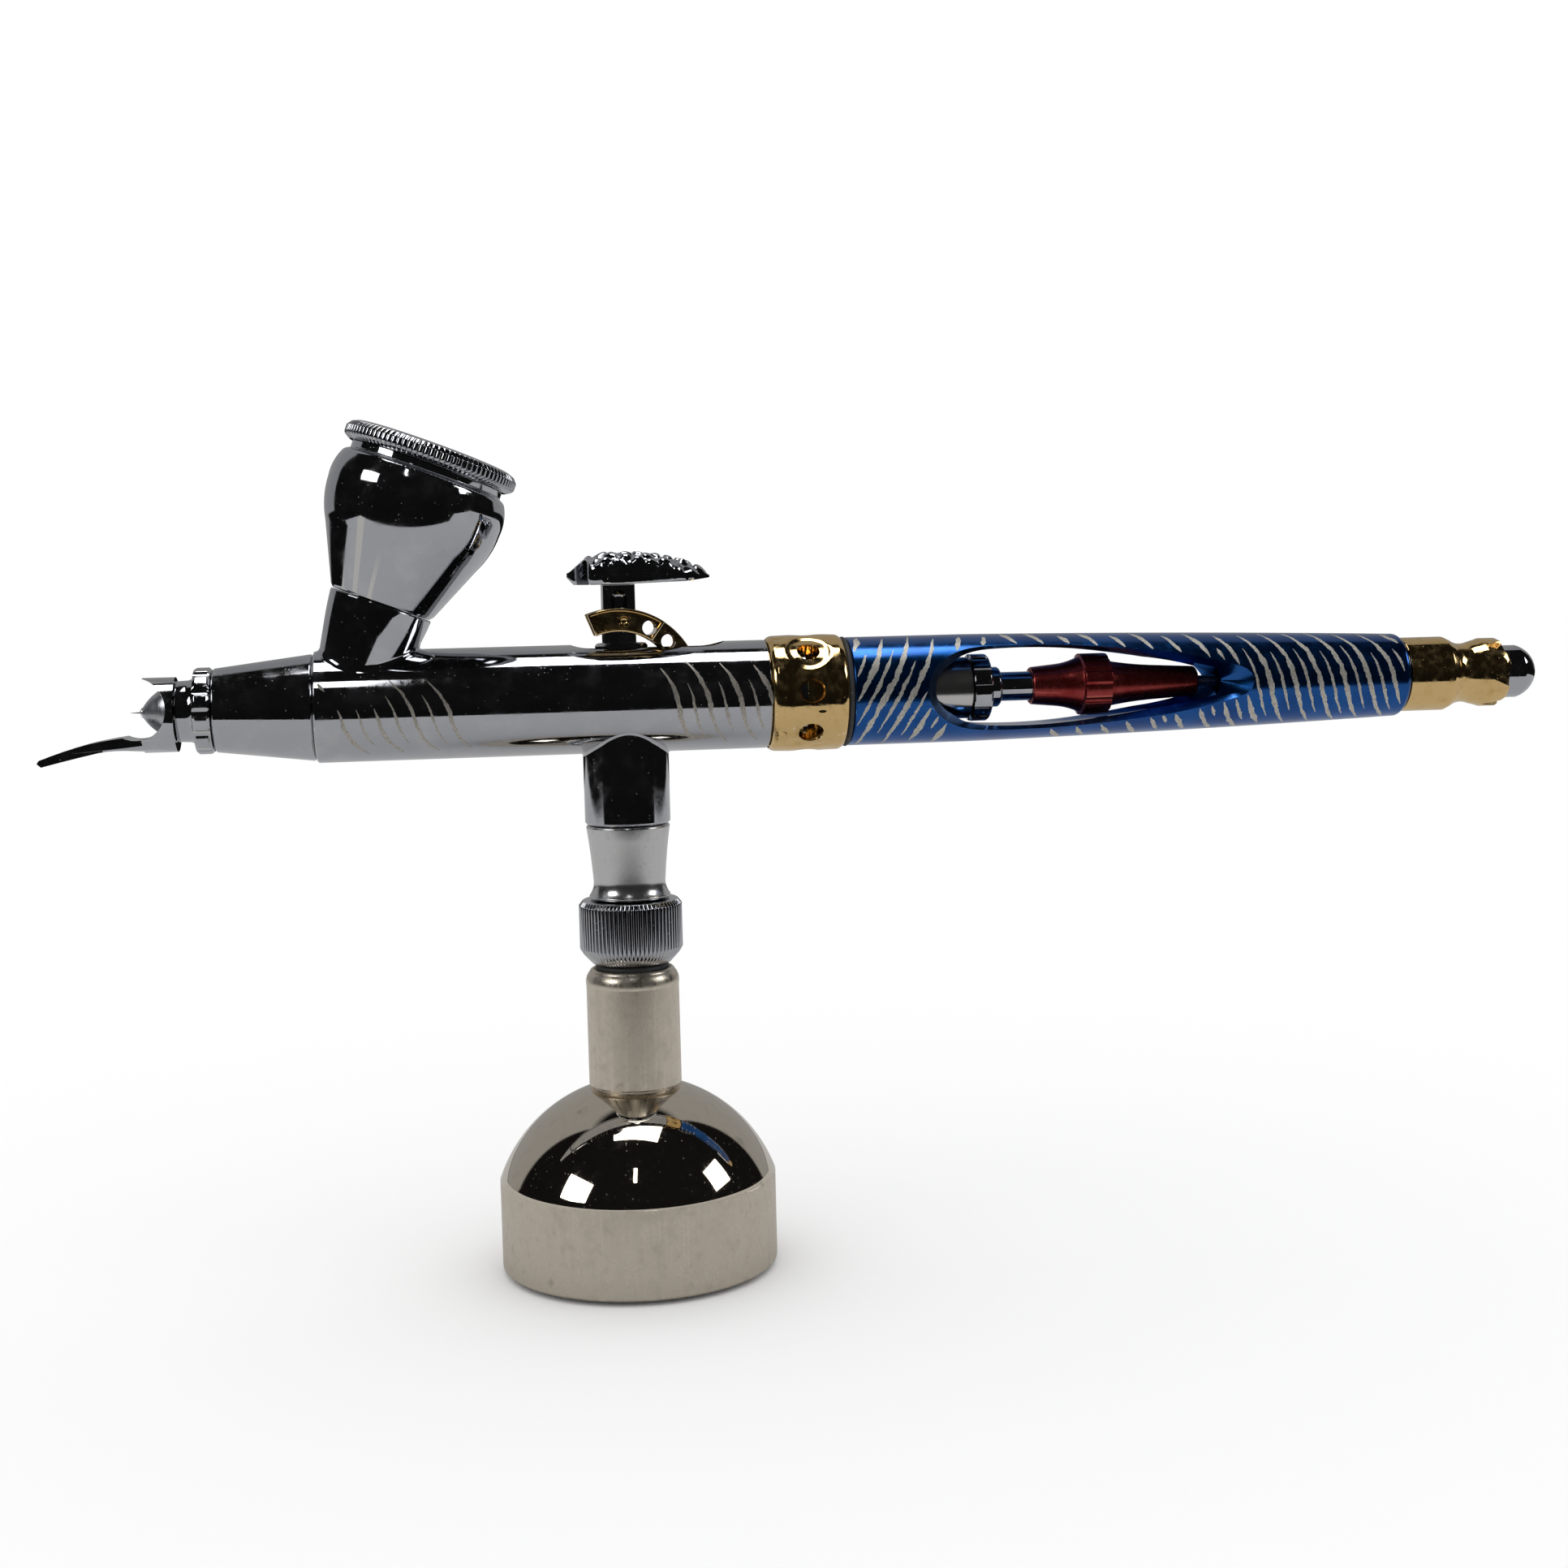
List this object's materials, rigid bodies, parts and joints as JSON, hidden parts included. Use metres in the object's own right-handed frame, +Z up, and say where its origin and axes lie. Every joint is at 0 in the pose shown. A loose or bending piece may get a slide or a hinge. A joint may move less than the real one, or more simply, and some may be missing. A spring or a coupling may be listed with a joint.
{
  "type": "airbrush holder stand",
  "caption": "Dome-shaped weighted holder stand carrying a gravity-feed airbrush plugged into its stem, with paint cup, trigger, windowed handle and needle train.",
  "frame": {"origin": "centre of the foot pad's underside, on the table and on the stand's axis", "axes": "+Z up along the stand's stem, +X along the airbrush from its needle tip towards its handle end, +Y across"},
  "size_m": [0.1693, 0.0308, 0.0941],
  "materials": {
    "chrome": "mirror polished plating",
    "satin_chrome": "satin plating",
    "warm_nickel": "warm nickel, polished dome and satin stem",
    "satin_steel": "satin turned steel",
    "spring_steel": "bright wire",
    "gold_plate": "polished gold plating",
    "blue_anodised": "semi-gloss blue anodising with etched silver lines",
    "red_anodised": "satin red anodising",
    "black_rubber": "matt",
    "ptfe": "matt white"
  },
  "bodies": {
    "stand": {"stand_base": "warm_nickel", "stand_stem": "warm_nickel", "stem_screw": "satin_steel", "foot_pad": "black_rubber", "socket_seal": "black_rubber"},
    "plug": {"plug_nipple": "chrome", "plug_gasket": "black_rubber"},
    "airbrush": {"airbrush_body": "chrome", "cup_socket": "chrome", "paint_cup": "chrome", "cup_gasket": "ptfe", "nozzle_head": "chrome", "air_cap": "chrome", "needle_cap": "chrome", "nozzle": "satin_steel", "nozzle_seal": "ptfe", "needle_packing": "ptfe", "packing_screw": "satin_steel", "valve_housing": "chrome", "valve_guide": "ptfe", "valve_seal": "black_rubber", "valve_spring": "spring_steel", "pressure_body": "satin_chrome", "grip_ring": "gold_plate", "ring_seal": "black_rubber", "spring_sleeve": "satin_steel", "needle_spring": "spring_steel", "handle": "blue_anodised", "limiter_bush": "satin_steel"},
    "lid": {"cup_lid": "chrome"},
    "dial": {"pressure_dial": "chrome"},
    "valve_rod": {"valve_piston": "satin_steel"},
    "trigger": {"trigger_lever": "chrome", "trigger_pad": "chrome", "trigger_blade": "gold_plate", "blade_pin": "satin_steel"},
    "needle_carrier": {"needle": "satin_steel", "chuck_guide": "chrome"},
    "chuck_nut": {"chuck_nut": "red_anodised"},
    "tension_nut": {"tension_nut": "chrome"},
    "limiter": {"limiter_sleeve": "gold_plate", "button_spring": "spring_steel"},
    "button": {"end_button": "chrome"}
  },
  "joints": [
    {"name": "airbrush_lift", "type": "slide", "parent": "stand", "child": "plug", "axis": [0, 0, 1], "range_m": [0, 0.0125]},
    {"name": "airbrush_swivel", "type": "hinge", "parent": "plug", "child": "airbrush", "pos_m": [0, 0, 0.034], "axis": [0, 0, 1], "continuous": true},
    {"name": "lid_lift", "type": "slide", "parent": "airbrush", "child": "lid", "axis": [0.3535, 0, 0.9354], "range_m": [0, 0.012]},
    {"name": "dial_turn", "type": "hinge", "parent": "airbrush", "child": "dial", "pos_m": [0, 0, 0.038], "axis": [0, 0, 1], "range_deg": [0, 270]},
    {"name": "trigger_press", "type": "slide", "parent": "airbrush", "child": "valve_rod", "axis": [0, 0, -1], "range_m": [0, 0.002], "stiffness_N_per_m": 400, "springref_m": -0.002, "deforming": ["valve_spring"]},
    {"name": "trigger_pull", "type": "hinge", "parent": "valve_rod", "child": "trigger", "pos_m": [-0.0006, 0, 0.06445], "axis": [0, 1, 0], "range_deg": [0, 18], "stiffness_Nm_per_rad": 0.05, "springref_deg": -17.19},
    {"name": "needle_pull", "type": "slide", "parent": "airbrush", "child": "needle_carrier", "axis": [1, 0, 0], "range_m": [0, 0.0031], "deforming": ["needle_spring"]},
    {"name": "chuck_nut_turn", "type": "hinge", "parent": "needle_carrier", "child": "chuck_nut", "pos_m": [0.055, 0, 0.06355], "axis": [1, 0, 0], "range_deg": [0, 270]},
    {"name": "tension_nut_turn", "type": "hinge", "parent": "airbrush", "child": "tension_nut", "pos_m": [0.039, 0, 0.06355], "axis": [1, 0, 0], "range_deg": [0, 270]},
    {"name": "limiter_turn", "type": "hinge", "parent": "airbrush", "child": "limiter", "pos_m": [0.095, 0, 0.06355], "axis": [1, 0, 0], "range_deg": [-150, 150]},
    {"name": "button_press", "type": "slide", "parent": "limiter", "child": "button", "axis": [-1, 0, 0], "range_m": [0, 0.001], "stiffness_N_per_m": 300, "springref_m": -0.002, "deforming": ["button_spring"]}
  ],
  "couplings": [
    {"joint": "needle_pull", "follows": "trigger_pull", "m_per_rad": 0.00955}
  ]
}
